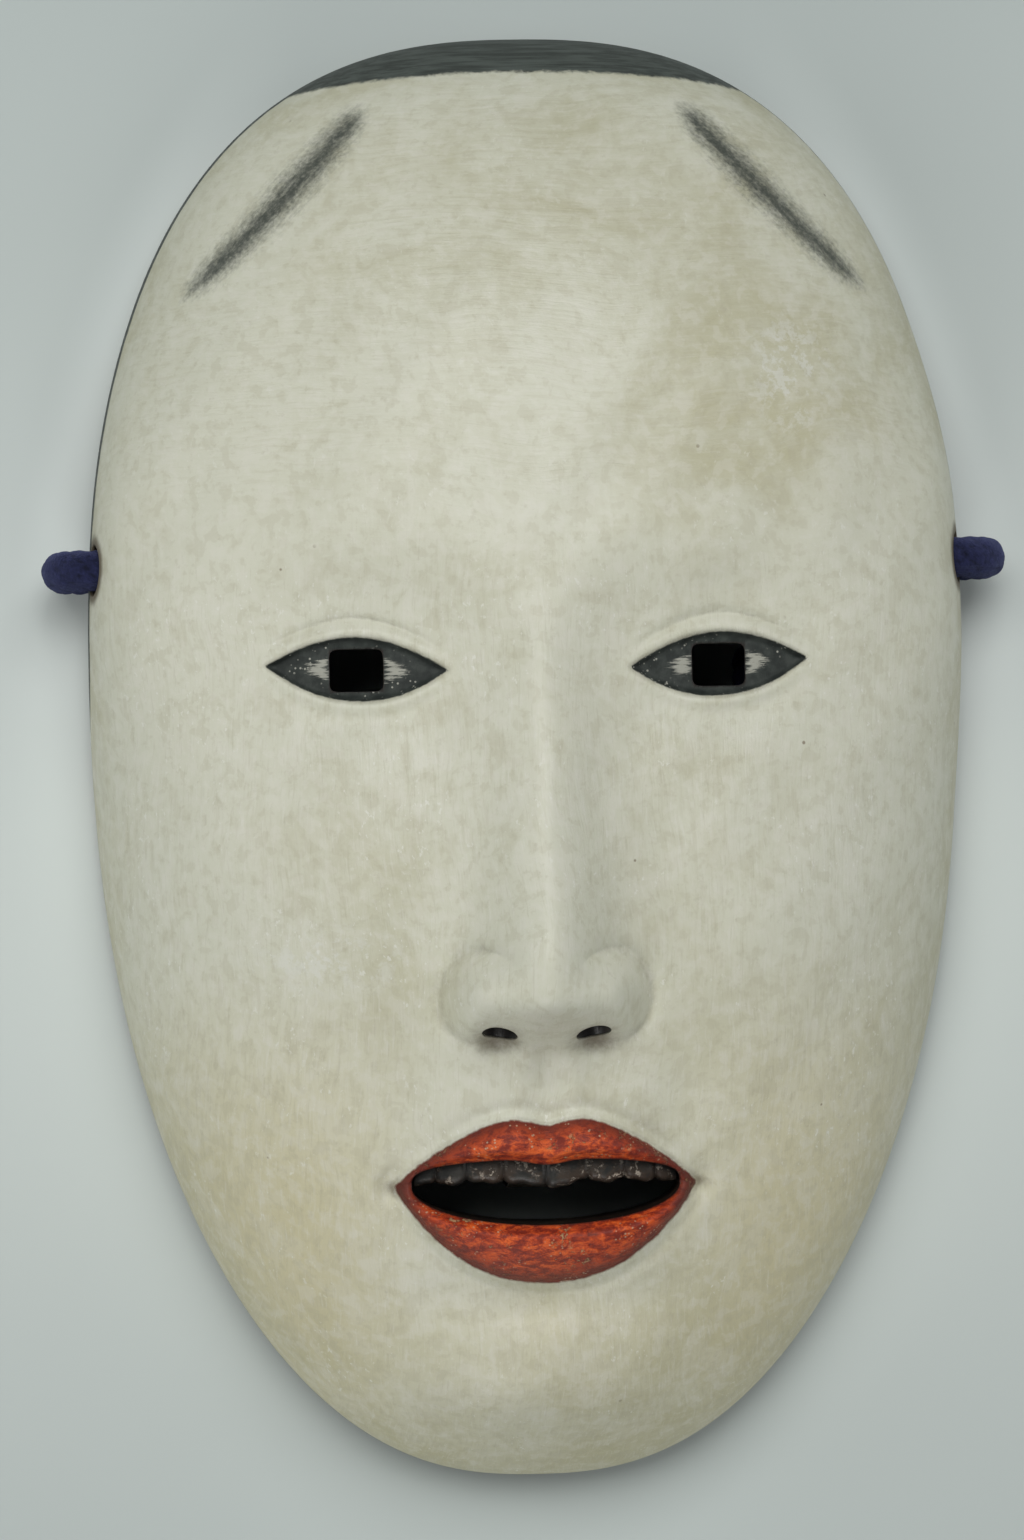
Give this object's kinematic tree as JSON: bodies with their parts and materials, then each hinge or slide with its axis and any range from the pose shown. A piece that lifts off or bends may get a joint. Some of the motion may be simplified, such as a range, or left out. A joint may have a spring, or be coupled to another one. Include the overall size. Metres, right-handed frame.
{
  "type": "noh mask",
  "caption": "Carved wooden noh mask with a white shell-powder face coat, painted hair band, brows, lips and teeth, pierced eyes, nostrils and mouth, and silk tie cords coiled behind it.",
  "frame": {"origin": "on the plane that the rim rests on, under the middle of the mask", "axes": "+X across the face, to the right as a viewer sees it; +Y towards the forehead; +Z out of the face"},
  "size_m": [0.141, 0.2117, 0.0668],
  "materials": {
    "hinoki_wood": "hinoki cypress, chiselled inside and stained with thin brown-black lacquer",
    "gofun": "aged white shell-powder coat, satin, brushed and stained, painted black and vermilion",
    "pad_cotton": "quilted cotton pads",
    "silk_cord": "braided indigo silk",
    "tie_paper": "folded strip of mulberry paper"
  },
  "bodies": {
    "root": {"carved_shell": "hinoki_wood", "gofun_coat": "gofun", "forehead_pad": "pad_cotton", "right_cheek_pad": "pad_cotton", "left_cheek_pad": "pad_cotton", "right_cord": "silk_cord", "right_cord_knot": "silk_cord", "right_cord_coil": "silk_cord", "right_cord_end_knot": "silk_cord", "left_cord": "silk_cord", "left_cord_knot": "silk_cord", "left_cord_coil": "silk_cord", "left_cord_end_knot": "silk_cord", "chin_side_coil_tie": "tie_paper", "brow_side_coil_tie": "tie_paper"}
  },
  "joints": []
}
